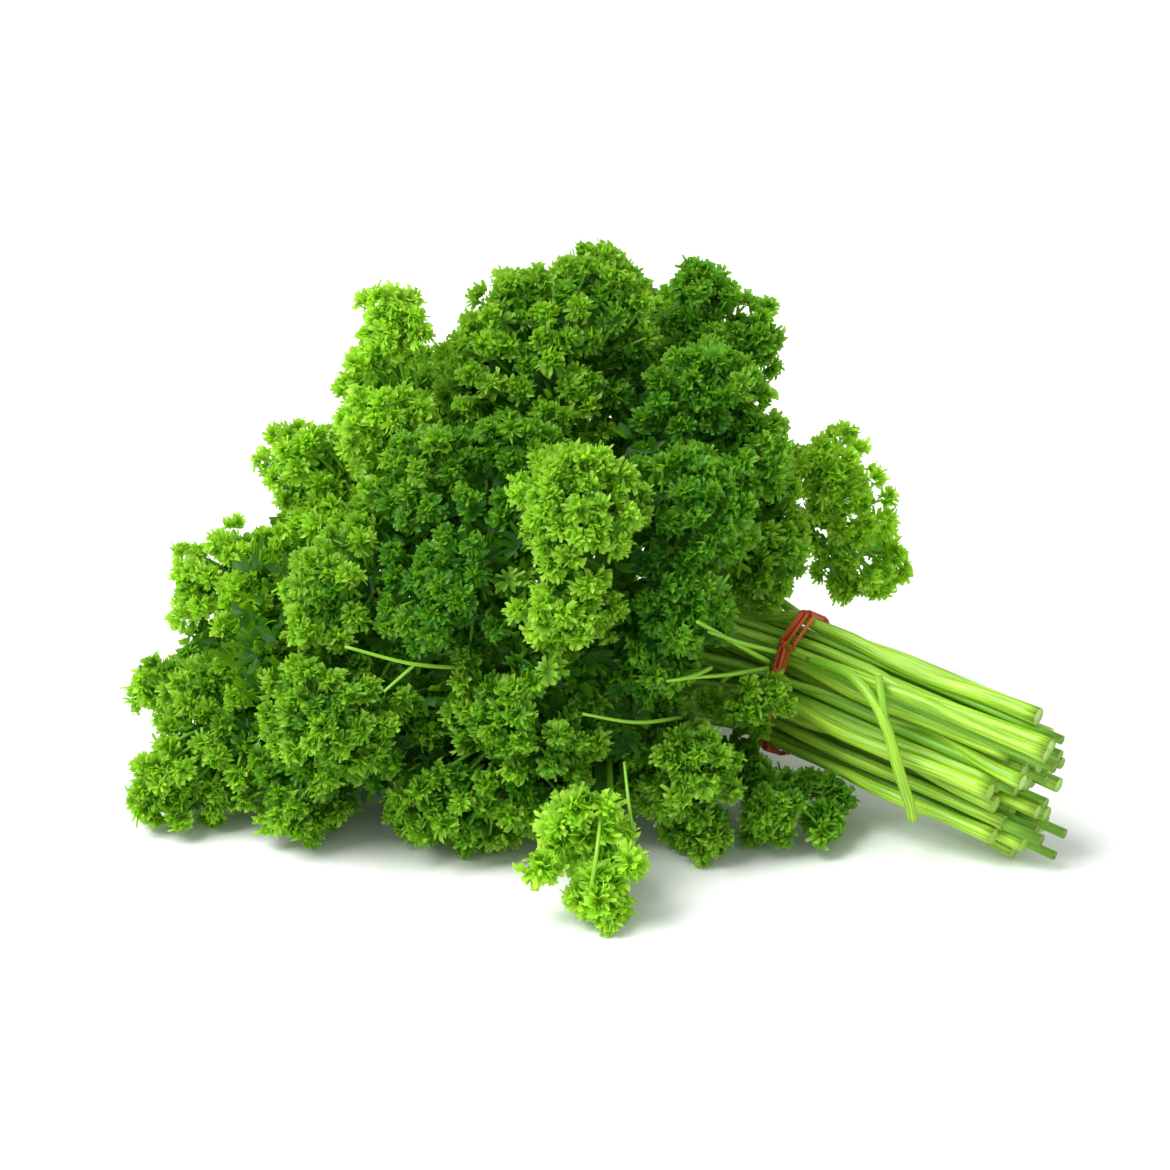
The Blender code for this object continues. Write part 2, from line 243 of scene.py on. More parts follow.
tissue = leafTissue()
skinOfStem = stemSkin("parsleyStemSkin", stemLook)
skinOfStalk = stemSkin("parsleyStalkSkin", {**stemLook, "pale": "#a4d452", "green": "#6fb52c"})
cutFace = freshCut()
rubber = bandRubber()
print("materials made")

# ---- tubes: a straight capped tube is made once, and each stem or stalk is that tube, bent


def straightTube(sides, rings, cutEnd=False):
    shape = bmesh.new()
    bmesh.ops.create_cone(shape, cap_ends=True, segments=sides, radius1=1.0, radius2=1.0,
                          depth=rings - 1.0)
    bmesh.ops.translate(shape, verts=shape.verts, vec=(0, 0, (rings - 1) / 2))
    uprights = [e for e in shape.edges if abs(e.verts[0].co.z - e.verts[1].co.z) > 0.5]
    bmesh.ops.subdivide_edges(shape, edges=uprights, cuts=rings - 2, use_grid_fill=True)
    if cutEnd:  # the rim of the cut stands a little proud of the wet pith
        end = [f for f in shape.faces if f.normal.z < -0.9]
        inner = bmesh.ops.inset_region(shape, faces=end, thickness=0.16, depth=0.0,
                                       use_even_offset=True)
        for face in end:
            face.material_index = 1
            for vert in face.verts:
                vert.co.z += 0.1
        for face in inner["faces"]:
            face.material_index = 1
    for face in shape.faces:
        face.smooth = len(face.verts) == 4
    bmesh.ops.recalc_face_normals(shape, faces=shape.faces)
    mesh = bpy.data.meshes.new("straightTube")
    shape.to_mesh(mesh)
    shape.free()
    return asTemplate(mesh)


def asTemplate(mesh):
    places = np.zeros(len(mesh.vertices) * 3)
    mesh.vertices.foreach_get("co", places)
    return {"mesh": mesh, "places": places.reshape(-1, 3)}


def bendTube(tube, path, radii, ribs=0, ribDepth=0.0):
    # places of the tube's points along the path, and the grain that its pattern follows
    path, radii = np.asarray(path, float), np.asarray(radii, float)
    tangents = np.gradient(path, axis=0)
    tangents /= np.linalg.norm(tangents, axis=1)[:, None] + 1e-12
    side = np.cross(tangents[0], [0.0, 0.0, 1.0])
    if np.linalg.norm(side) < 1e-3:
        side = np.array([1.0, 0.0, 0.0])
    sides = []
    for tangent in tangents:
        side = unit(side - tangent * (side @ tangent))
        sides.append(side)
    sides = np.array(sides)
    ups = np.cross(tangents, sides)
    x, y, z = tube["places"].T
    turn, out = np.arctan2(y, x), np.hypot(x, y)
    ring = np.clip(z, 0, len(path) - 1)
    before = np.minimum(ring.astype(int), len(path) - 2)
    share = (ring - before)[:, None]
    def read(rows):
        return rows[before] * (1 - share) + rows[before + 1] * share
    radius = read(radii[:, None])[:, 0] * out * (1 + ribDepth * np.cos(ribs * turn))
    places = (read(path) + read(sides) * (radius * np.cos(turn))[:, None]
              + read(ups) * (radius * np.sin(turn))[:, None])
    steps = np.concatenate([[0.0], np.cumsum(np.linalg.norm(np.diff(path, axis=0), axis=1))])
    length = read(steps[:, None])[:, 0]
    width = radii.mean() / mm
    grain = np.stack([np.cos(turn) * width, np.sin(turn) * width, length / mm], axis=1)
    return places, grain, length / steps[-1]


def smoothPath(points, count):
    # a smooth curve through the points, read at even steps
    points = np.asarray(points, float)
    steps = np.concatenate([[0.0], np.cumsum(np.linalg.norm(np.diff(points, axis=0), axis=1))])
    slopes = np.gradient(points, steps, axis=0)
    wanted = np.linspace(0, steps[-1], count)
    after = np.clip(np.searchsorted(steps, wanted, side="right"), 1, len(points) - 1)
    span = (steps[after] - steps[after - 1])[:, None]
    t = (wanted[:, None] - steps[after - 1][:, None]) / span
    a, b = points[after - 1], points[after]
    m, n = slopes[after - 1] * span, slopes[after] * span
    return ((2 * t**3 - 3 * t**2 + 1) * a + (t**3 - 2 * t**2 + t) * m
            + (3 * t**2 - 2 * t**3) * b + (t**3 - t**2) * n)


# ---- what the CAD model says: the middle line of each stem, and the skin of each leaf


def mergedCopy(node):
    shape = bmesh.new()
    shape.from_mesh(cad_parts[node].data)
    bmesh.ops.remove_doubles(shape, verts=shape.verts, dist=0.02 * mm)
    return shape


def middleLine(node):
    # the stem's corners fall into rings; walks from the ring at the cut end to the leaf
    shape = mergedCopy(node)
    corners = np.array([tuple(v.co) for v in shape.verts])
    shape.free()
    rings, left = [], list(range(len(corners)))
    while left:
        ring, edge = [], [left.pop()]
        while edge:
            corner = edge.pop()
            ring.append(corner)
            near = [n for n in left if np.linalg.norm(corners[n] - corners[corner]) < 2.2 * mm]
            edge += near
            left = [n for n in left if n not in near]
        if len(ring) == 8:  # where the stem runs straight, a ring may have lost corners
            middle = corners[ring].mean(axis=0)
            rings.append((*middle, np.linalg.norm(corners[ring] - middle, axis=1).mean()))
    line = [max(rings, key=lambda ring: ring[0] - ring[1])]
    rings.remove(line[0])
    while rings:
        line.append(min(rings, key=lambda ring: math.dist(ring[:3], line[-1][:3])))
        rings.remove(line[-1])
    return np.array(line)


stemNodes = sorted(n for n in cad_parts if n.startswith(("stem_", "loose_stalk")))
leafNodes = sorted(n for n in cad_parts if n.startswith("leaf_"))
stemLines = {node: middleLine(node) for node in stemNodes}
leafSkins = {}
for node in leafNodes:
    copy = mergedCopy(node)
    leafSkins[node] = BVHTree.FromBMesh(copy)
    copy.free()
print("CAD read:", len(stemNodes), "stems and", len(leafNodes), "leaves")


def finishPiece(name, mesh, materials, slotName, *replaced):
    for made in materials:
        mesh.materials.append(made)
    piece = bpy.data.objects.new(name, mesh)
    bpy.context.scene.collection.objects.link(piece)
    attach(piece, "root")
    if replaced:
        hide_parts(*replaced)
    return piece


def setAttribute(mesh, name, values):
    vector = np.ndim(values) == 2
    made = mesh.attributes.new(name, "FLOAT_VECTOR" if vector else "FLOAT", "POINT")
    made.data.foreach_set("vector" if vector else "value", np.asarray(values, np.float32).ravel())


# ---- stems

stemShape = {"sides": 14, "rings": 34, "ribs": 7, "ribDepth": 0.045, "waverMm": 0.5,
             "slimming": (0.84, 1.12), "thinning": 0.35, "bowMm": 2.0, "stalkReach": (-13.0, 3.0, -3.0)}
stemTube = straightTube(stemShape["sides"], stemShape["rings"], cutEnd=True)

for number, node in enumerate(stemNodes):
    line = stemLines[node]
    if node == "loose_stalk":  # it starts between the stems, near the band
        ahead = unit(stemLines["stem_top"][0, :3] - stemLines["stem_top"][4, :3])
        across = unit(np.cross(ahead, [0, 0, 1]))
        along, aside, up = (v * mm for v in stemShape["stalkReach"])
        start = line[-1, :3] + along * ahead - aside * across + np.array([0, 0, up])
        line = np.vstack([line, [*start, line[-1, 3] * 0.7]])
        line[:, 3] *= 1.3
    path = smoothPath(line[:, :3], stemShape["rings"])
    radii = np.interp(np.linspace(0, 1, len(path)), np.linspace(0, 1, len(line)), line[:, 3])
    luck = random.Random(300 + number)
    radii *= luck.uniform(*stemShape["slimming"])
    radii *= 1 - stemShape["thinning"] * np.clip(np.linspace(-0.5, 1.1, len(path)), 0, 1)
    inFan = np.clip(1 - 2.4 * np.linspace(0, 1, len(path)), 0, 1)
    side = np.array([luck.uniform(-1, 1) for _ in range(3)]) * stemShape["bowMm"] * mm
    path += (np.sin(math.pi * inFan) + 0.5 * np.sin(2 * math.pi * inFan))[:, None] * side
    for n in range(len(path)):  # a living stem is never quite even
        swell = noise.noise(Vector((number * 7.3, n * 0.35, 0.0)))
        radii[n] *= 1 + 0.07 * swell
        path[n] += np.array(noise.noise_vector(Vector((number * 3.1, n * 0.3, 5.0)))) \
            * stemShape["waverMm"] * mm * math.sin(math.pi * n / (len(path) - 1))
    places, grain, along = bendTube(stemTube, path, radii, stemShape["ribs"],
                                    stemShape["ribDepth"])
    mesh = stemTube["mesh"].copy()
    mesh.name = node
    mesh.vertices.foreach_set("co", places.ravel())
    setAttribute(mesh, "grain", grain + np.array([0, 0, 40.0 * number]))
    setAttribute(mesh, "along", along)
    finishPiece(f"{node}_ribbed", mesh, [skinOfStem, cutFace], "stem", node)


def thinStalks():
    # more thin stalks fill the bundle, each in the space between three stems
    names = [node for node in stemNodes if node != "loose_stalk"]
    routes = []
    for node in names:
        spots = stemLines[node][:, :3]
        steps = np.concatenate([[0.0], np.cumsum(np.linalg.norm(np.diff(spots, axis=0), axis=1))])
        wanted = np.linspace(0, thinStalk["lengthMm"] * mm, thinStalk["rings"])
        routes.append(np.stack([np.interp(wanted, steps, column) for column in spots.T], axis=1))
    routes = np.array(routes)
    atBand = routes[:, thinStalk["bandRing"]]
    luck = random.Random(77)
    shape, places, grains, groups = bmesh.new(), [], [], set()
    tube = straightTube(8, thinStalk["rings"], cutEnd=True)
    for spot in atBand:
        groups.add(tuple(sorted(np.linalg.norm(atBand - spot, axis=1).argsort()[:3])))
    for number, group in enumerate(sorted(groups)):
        path = routes[list(group)].mean(axis=0)
        path[0] += (path[0] - path[1]) * luck.uniform(-0.5, 1.5)
        radii = np.linspace(1.15, 0.8, len(path)) * thinStalk["radiusMm"] * mm
        spots, grain, _ = bendTube(tube, path, radii * luck.uniform(0.8, 1.15))
        shape.from_mesh(tube["mesh"])
        places.append(spots)
        grains.append(grain + np.array([0, 0, 31.0 * number]))
    mesh = bpy.data.meshes.new("thinStalks")
    shape.to_mesh(mesh)
    shape.free()
    mesh.vertices.foreach_set("co", np.concatenate(places).ravel())
    setAttribute(mesh, "grain", np.concatenate(grains))
    # the thin stalks between the stems are painted mostly the darker leaf-end green all along: painted shade
    setAttribute(mesh, "along", np.full(len(mesh.vertices), 0.9))
    finishPiece("thin_stalks", mesh, [skinOfStem, cutFace], "stem")
    return len(groups)


thinStalk = {"lengthMm": 104.0, "rings": 14, "bandRing": 10, "radiusMm": 1.35}
print("stems drawn, and thin stalks between them:", thinStalks())

# pale stalks that show in front of the leaves: where each one starts and ends, how far its middle
# bows to the front, and its thickness, all in mm
strayStalks = [
    ((50, -30, 50), (30, -55, 72), 0, 1.4),
    ((50, -30, 48), (27, -55, 56), 1, 1.3),
    ((52, -28, 52), (33, -52, 68), 1, 1.3),
    ((-28, -44, 54), (-62, -55, 65), 4, 1.1),
    ((-44, -53, 59), (-52, -57, 53), 0, 0.9),
    ((26, -45, 40), (0, -60, 48), 4, 1.1),
    ((13, -76, 22), (11, -62, 35), 2, 1.0),
    ((34, -48, 56), (22, -57, 56), 2, 1.1),
    ((2, -92, 12), (5, -76, 30), 6, 1.1),
    ((79, -40, 50), (82, -46, 34), 3, 2.2),
]


def drawStrayStalks():
    shape, places, grains = bmesh.new(), [], []
    tube = straightTube(8, 12)
    for number, (start, end, bowMm, thickMm) in enumerate(strayStalks):
        middle = (np.array(start) + end) / 2 - [0, bowMm, 0]
        path = smoothPath(np.array([start, middle, end]) * mm, 12)
        radii = np.linspace(1.1, 0.75, 12) * thickMm / 2 * mm
        spots, grain, _ = bendTube(tube, path, radii)
        shape.from_mesh(tube["mesh"])
        places.append(spots)
        grains.append(grain + np.array([0, 0, 17.0 * number]))
    mesh = bpy.data.meshes.new("strayStalks")
    shape.to_mesh(mesh)
    shape.free()
    mesh.vertices.foreach_set("co", np.concatenate(places).ravel())
    setAttribute(mesh, "grain", np.concatenate(grains))
    setAttribute(mesh, "along", np.full(len(mesh.vertices), 0.75))
    finishPiece("stray_stalks", mesh, [skinOfStem], "stem")


drawStrayStalks()

# ---- rubber band: one long band wound round the bundle

bandShape = {
    "turns": 4,
    "strandMm": 1.3,
    "spreadMm": 2.0,
    "crossMm": 1.6,
    "hugMm": 1.0,
    "around": 72,
    "sides": 10,
}


def strandRing(sides, around):
    shape = bmesh.new()
    bmesh.ops.create_circle(shape, segments=sides, radius=0.25)
    bmesh.ops.rotate(shape, verts=shape.verts, cent=(0, 0, 0),
                     matrix=Matrix.Rotation(math.pi / 2, 3, "X"))
    bmesh.ops.translate(shape, verts=shape.verts, vec=(1, 0, 0))
    bmesh.ops.spin(shape, geom=shape.verts[:] + shape.edges[:], cent=(0, 0, 0), axis=(0, 0, 1),
                   dvec=(0, 0, 0), angle=math.tau, steps=around, use_merge=True,
                   use_normal_flip=False, use_duplicate=False)
    bmesh.ops.remove_doubles(shape, verts=shape.verts, dist=1e-4)
    bmesh.ops.recalc_face_normals(shape, faces=shape.faces)
    for face in shape.faces:
        face.smooth = True
    mesh = bpy.data.meshes.new("strandRing")
    shape.to_mesh(mesh)
    shape.free()
    return asTemplate(mesh)


def windBand():
    corners = np.array([tuple(v.co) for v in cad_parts["rubber_band"].data.vertices])
    middle = corners.mean(axis=0)
    ahead = unit(stemLines["stem_top"][0, :3] - stemLines["stem_top"][4, :3])
    across = unit(np.cross(ahead, [0, 0, 1]))
    upward = np.cross(across, ahead)
    flat = np.stack([(corners - middle) @ across, (corners - middle) @ upward], axis=1)
    ring = strandRing(bandShape["sides"], bandShape["around"])
    x, y, z = ring["places"].T
    turn = np.arctan2(y, x)
    tubeOut, tubeAlong = (np.hypot(x, y) - 1) / 0.25, z / 0.25
    shape, places, grains = bmesh.new(), [], []
    for strand in range(bandShape["turns"]):
        share = strand / (bandShape["turns"] - 1) - 0.5
        outward = np.stack([np.cos(turn), np.sin(turn)], axis=1)
        half = bandShape["strandMm"] * mm / 2
        lean = bandShape["crossMm"] * mm * np.sin(turn * (1 + strand % 2) + 2.1 * strand)
        rest = flat[(outward @ flat.T).argmax(axis=1)]
        over = 0.45 * half * (1 + np.sin(2 * turn + 1.7 * strand))
        spot = rest + outward * (over + half * tubeOut)[:, None] - outward * (half * 0.8 + bandShape["hugMm"] * mm)
        aheadBy = share * bandShape["spreadMm"] * mm + lean + half * 0.8 * tubeAlong
        places.append(middle + spot[:, :1] * across + spot[:, 1:] * upward
                      + aheadBy[:, None] * ahead)
        grains.append(np.stack([tubeOut, tubeAlong, turn * 12 + 90 * strand], axis=1))
        shape.from_mesh(ring["mesh"])
    mesh = bpy.data.meshes.new("woundBand")
    shape.to_mesh(mesh)
    shape.free()
    mesh.vertices.foreach_set("co", np.concatenate(places).ravel())
    setAttribute(mesh, "grain", np.concatenate(grains))
    return finishPiece("wound_rubber_band", mesh, [rubber], "band", "rubber_band")


windBand()
print("band wound")

# ---- curly leaflets: a toothed fan, ruffled and cupped, in a few kinds that repeat

leafletShape = {
    "kinds": 16,
    "teeth": 5,
    "spread": (125, 190),  # degrees from one edge of the fan to the other
    "notch": 0.6,
    "deepNotch": 0.42,
    "ruffle": (0.26, 0.46),
    "toothCurl": 0.24,
    "cup": (0.0, 0.7),
}


def curlyLeaflet(chance):
    teeth = leafletShape["teeth"]
    columns = 3 * teeth
    shape = bmesh.new()
    bmesh.ops.create_grid(shape, x_segments=columns, y_segments=2, size=0.5)
    spread = math.radians(chance.uniform(*leafletShape["spread"]))
    ruffle = chance.uniform(*leafletShape["ruffle"])
    folds, phase = chance.uniform(3.5, 6.5), chance.uniform(0, math.tau)
    cup = chance.uniform(*leafletShape["cup"])
    toothReach = [chance.uniform(0.84, 1.08) for _ in range(teeth + 1)]
    toothCurl = [chance.uniform(-1, 1) * leafletShape["toothCurl"] for _ in range(teeth + 1)]
    deep = teeth // 2
    keep = []
    for vert in shape.verts:
        column = round((vert.co.x + 0.5) * columns)
        row = round((vert.co.y + 0.5) * 2)
        tooth, part = divmod(column, 3)
        angle = ((tooth + (0.0, 0.29, 0.71)[part]) / teeth - 0.5) * spread
        if column in (0, columns):
            rim = 0.55
        elif part == 0:
            rim = leafletShape["deepNotch"] if tooth == deep else leafletShape["notch"]
        else:
            rim = toothReach[tooth]
        reach = (0.0, min(0.5, 0.72 * rim), rim)[row]
        curl = toothCurl[tooth] if row == 2 and part else 0.0
        fold = ruffle * reach**1.3 * math.sin(folds * angle + phase)
        keep.append(min(reach, 1.0))
        vert.co = (reach * math.sin(angle), reach * math.cos(angle) - 0.2 * cup * reach**2,
                   fold + curl + cup * reach**2)
    layer = shape.verts.layers.float.new("rim")
    for vert, value in zip(shape.verts, keep, strict=True):
        vert[layer] = value
    bmesh.ops.remove_doubles(shape, verts=shape.verts, dist=1e-4)
    for face in shape.faces:
        face.smooth = True
    mesh = bpy.data.meshes.new("curlyLeaflet")
    shape.to_mesh(mesh)
    shape.free()
    made = asTemplate(mesh)
    rim = np.zeros(len(mesh.vertices))
    mesh.attributes["rim"].data.foreach_get("value", rim)
    mesh.attributes.remove(mesh.attributes["rim"])
    return {**made, "rim": rim}


chance = random.Random(11)
curlyKinds = [curlyLeaflet(chance) for _ in range(leafletShape["kinds"])]
stalkTube = straightTube(5, 6)
print("leaflet kinds made:", len(curlyKinds))

# ---- leaves: heads of leaflets all over the skin of each CAD leaf, on stalks from its stem

# tone runs from the darkest green at 0 to the brightest at 1; it is partly each sprig's own green
# and partly painted light and shade, with the outer sprigs on the left, where the light comes from,
# painted brighter and those underneath darker; a leaf that hangs apart from the others keeps its own
# outline, and the rest grow into one another; a waist is a place, its reach and how far the leaf
# draws in there, all in mm; shoots are extra heads along a line, given by its two ends, how far the
# heads stray from it, and their number
usualLeaf = {"tone": 0.45, "leafletMm": (2.3, 3.8), "perHead": 12, "skip": 0.0,
             "inner": 4, "apart": False, "leanDegrees": (0, 95), "waists": (), "creases": 1.0,
             "shoots": (), "paintedShadeAboveMm": 999}
leafStyles = {
    "top": {"tone": 0.45, "waists": [((22, 22, 142), 11, 6.0), ((-43, 14, 120), 12, 6.0)]},
    "top_right": {"tone": 0.14, "apart": True},
    "shoulder_right": {"tone": 0.16},
    "tall_left": {"tone": 1.16, "apart": True, "creases": 0.7,
                  "waists": [((-56, 12, 117), 15, 3.5), ((-43, 8, 112), 9, 4.0)]},
    "shoulder_left": {"tone": 1.02},
    "upper_middle": {"tone": 0.3},
    "low_left": {"tone": 1.02, "shoots": [((-94, -4, 65), (-88, -9, 44), 4, 11)]},
    "front_left": {"tone": 0.65, "shoots": [((-88, -11, 40), (-86, -13, 33), 3, 4)]},
    "bright_middle": {"tone": 0.8, "creases": 0.55,
                      "waists": [((-3, -50, 90), 40, 2.2), ((-17, -50, 88), 11, 3.5)]},
    "middle_left": {"tone": 0.1},
    "centre_left": {"tone": 0.5},
    "low_front_left": {"tone": 0.45},
    "low_front": {"tone": 0.4},
    "middle_right": {"tone": 0.12},
    "right": {"tone": 0.35},
    "back_right": {"tone": 1.2, "skip": 0.18, "inner": 1, "apart": True},
    "front": {"tone": 1.2, "leafletMm": (3.2, 5.0), "inner": 1, "skip": 0.12, "creases": 0.7,
              "apart": True, "perHead": 10, "paintedShadeAboveMm": 21,
              "shoots": [((-12, -87, 17), (-8, -90, 20), 1, 3),
                         ((14, -88, 18), (12, -90, 22), 1, 2)]},
    "low_front_right": {"tone": 0.5},
    "under_stems": {"tone": 0.3, "apart": True, "skip": 0.1, "creases": 0.6,
                    "shoots": [((43, -37, 23), (74, -38, 14), 3, 15)]},
    "neck": {"tone": 0.5, "apart": True, "inner": 1, "skip": 0.2,
             "shoots": [((32, -37, 42), (50, -33, 34), 2, 4)]},
    "under_left": {"tone": 0.1},
    "under_middle": {"tone": 0.1},
}
crowd = {
    "headGapMm": 6.5,
    "swellMm": 3.4,  # the leaves grow into one another over gaps of twice this
    "standMm": 1.4,  # and stand this proud of the CAD skin
    "voxelMm": 2.2,
    "stalkMm": 13.0,
    "gaps": [((10, 25, 95), (10, 8, 100)), ((-20, 0, 35), (-18, -5, 42)),
             ((-50, -5, 72), (-42, -5, 75)), ((40, -30, 26), (46, -30, 14))],
    "gapLeaflets": 24,  # along each gap that light would come through otherwise
    "gapReachMm": 6.0,
    "shadeSwellMm": 7.0,
    "shadeDepthMm": 10.0,
    "shadeGapMm": 5.5,
    "shadeMm": (4.5, 6.5),
    "lumpPitchMm": 14.0,
    "creaseMm": 6.0,  # deep creases part the lumps, and the leaves where they meet
    # heads in a crease are painted darker by up to this much tone: painted shade
    "paintedCreaseShade": 0.45,
}


def grownTogether(nodes, swell, stand):
    # the outer skin of the leaves: it swells until they meet, and shrinks back
    shape = bmesh.new()
    for node in nodes:
        shape.from_mesh(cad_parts[node].data)
    bmesh.ops.remove_doubles(shape, verts=shape.verts, dist=0.02 * mm)
    mesh = bpy.data.meshes.new("grownTogether")
    shape.to_mesh(mesh)
    shape.free()
    helper = bpy.data.objects.new("grownTogether", mesh)
    bpy.context.scene.collection.objects.link(helper)
    for step, distance in enumerate((swell, stand - swell)):
        push = helper.modifiers.new(f"push{step}", "DISPLACE")
        push.strength, push.mid_level = distance * mm, 0.0
        join = helper.modifiers.new(f"join{step}", "REMESH")
        join.mode, join.voxel_size = "VOXEL", crowd["voxelMm"] * mm
    settled = helper.evaluated_get(bpy.context.evaluated_depsgraph_get())
    skin = bmesh.new()
    skin.from_mesh(settled.to_mesh())
    settled.to_mesh_clear()
    bpy.data.objects.remove(helper)
    bpy.data.meshes.remove(mesh)
    bmesh.ops.smooth_vert(skin, verts=skin.verts, factor=0.5, use_axis_x=True,
                          use_axis_y=True, use_axis_z=True)
    return skin


def skinPoints(shape, gap, chance):
    # points spread evenly over the skin, with the outward direction at each
    bmesh.ops.triangulate(shape, faces=shape.faces)
    shape.normal_update()
    corners = np.array([[tuple(v.co) for v in f.verts] for f in shape.faces])
    normals = np.array([[tuple(v.normal) for v in f.verts] for f in shape.faces])
    areas = np.array([f.calc_area() for f in shape.faces])
    shape.free()
    tries = int(12 * areas.sum() / gap**2)
    picked = chance.choice(len(areas), tries, p=areas / areas.sum())
    a, b = np.sort(chance.random((2, tries)), axis=0)
    shares = np.stack([a, b - a, 1 - b], axis=1)[:, :, None]
    spots = (corners[picked] * shares).sum(axis=1)
    outs = (normals[picked] * shares).sum(axis=1)
    cells, kept = {}, []
    for n, spot in enumerate(spots):
        cell = tuple((spot // gap).astype(int))
        near = [k for dx in (-1, 0, 1) for dy in (-1, 0, 1) for dz in (-1, 0, 1)
                for k in cells.get((cell[0] + dx, cell[1] + dy, cell[2] + dz), ())]
        if near and np.linalg.norm(spots[near] - spot, axis=1).min() < gap:
            continue
        cells.setdefault(cell, []).append(n)
        kept.append(n)
    return [(spots[n], unit(outs[n])) for n in kept]


def creased(spot, out, between, depth=1.0):
    # a head moves into the leaf where it is between two lumps or two leaves
    lump = abs(noise.noise(Vector(spot / (crowd["lumpPitchMm"] * mm)))) * 3.2
    crease = min(depth * max(1 - lump, 0) ** 1.5 + between, 1.2)
    return spot - out * crease * crowd["creaseMm"] * mm, out, crease


def strewn(start, end, reach, count, chance):
    # places along a line, each one astray by up to reach
    along = (np.arange(count)[:, None] + 0.5) / count
    line = np.array(start) * (1 - along) + np.array(end) * along
    return (line + chance.uniform(-1, 1, (count, 3)) * reach) * mm


def headPlaces():
    # the places of all heads, shared out between the leaves that they belong to
    chance = np.random.default_rng(5)
    gap = crowd["headGapMm"] * mm
    styles = {node: {**usualLeaf, **leafStyles.get(node.removeprefix("leaf_"), {})}
              for node in leafNodes}
    together = [node for node in leafNodes if not styles[node]["apart"]]
    heads = {node: [] for node in leafNodes}
    for spot, out in skinPoints(grownTogether(together, crowd["swellMm"], crowd["standMm"]), gap, chance):
        near = Vector(spot)
        owner = min(together, key=lambda node: leafSkins[node].find_nearest(near)[3])
        between = leafSkins[owner].find_nearest(near)[3] / mm - crowd["standMm"]
        heads[owner].append(creased(spot, out, min(max(between - 0.6, 0) / 3.0, 0.6),
                                        styles[owner]["creases"]))
    for node in leafNodes:
        if styles[node]["apart"]:
            heads[node] = [creased(spot, out, 0.0, styles[node]["creases"])
                           for spot, out in skinPoints(mergedCopy(node), gap, chance)]
        for start, end, reach, count in styles[node]["shoots"]:
            heads[node] += [(spot, unit([0.1, -0.8, 0.55]), 0.3)
                            for spot in strewn(start, end, reach, count, chance)]
        for centre, reach, sink in styles[node]["waists"]:
            heads[node] = [(spot - out * sink * mm * math.exp(-(math.dist(spot / mm, centre) / reach)
                                                              ** 4), out, crease)
                           for spot, out, crease in heads[node]]
    shades = {node: [] for node in leafNodes}
    deep = grownTogether(together, crowd["shadeSwellMm"], -crowd["shadeDepthMm"])
    for spot, out in skinPoints(deep, crowd["shadeGapMm"] * mm, chance):
        near = Vector(spot)
        owner = min(together, key=lambda node: leafSkins[node].find_nearest(near)[3])
        shades[owner].append((spot, out))
    for start, end in crowd["gaps"]:
        near = Vector(start).lerp(Vector(end), 0.5) * mm
        owner = min(leafNodes, key=lambda node: leafSkins[node].find_nearest(near)[3])
        shades[owner] += [(spot, np.array([0.0, -0.93, 0.37])) for spot in strewn(
            start, end, crowd["gapReachMm"], crowd["gapLeaflets"], chance)]
    return heads, shades, styles


def facing(direction, out, roll):
    # a turn that points a leaflet along direction, with its face towards out
    y = unit(direction)
    z = out - y * (out @ y)
    z = unit(z) if np.linalg.norm(z) > 0.05 else unit(np.cross(y, [0.3, 0.5, 0.8]))
    x = np.cross(y, z)
    c, s = math.cos(roll), math.sin(roll)
    return np.stack([x * c + z * s, y, z * c - x * s], axis=1)


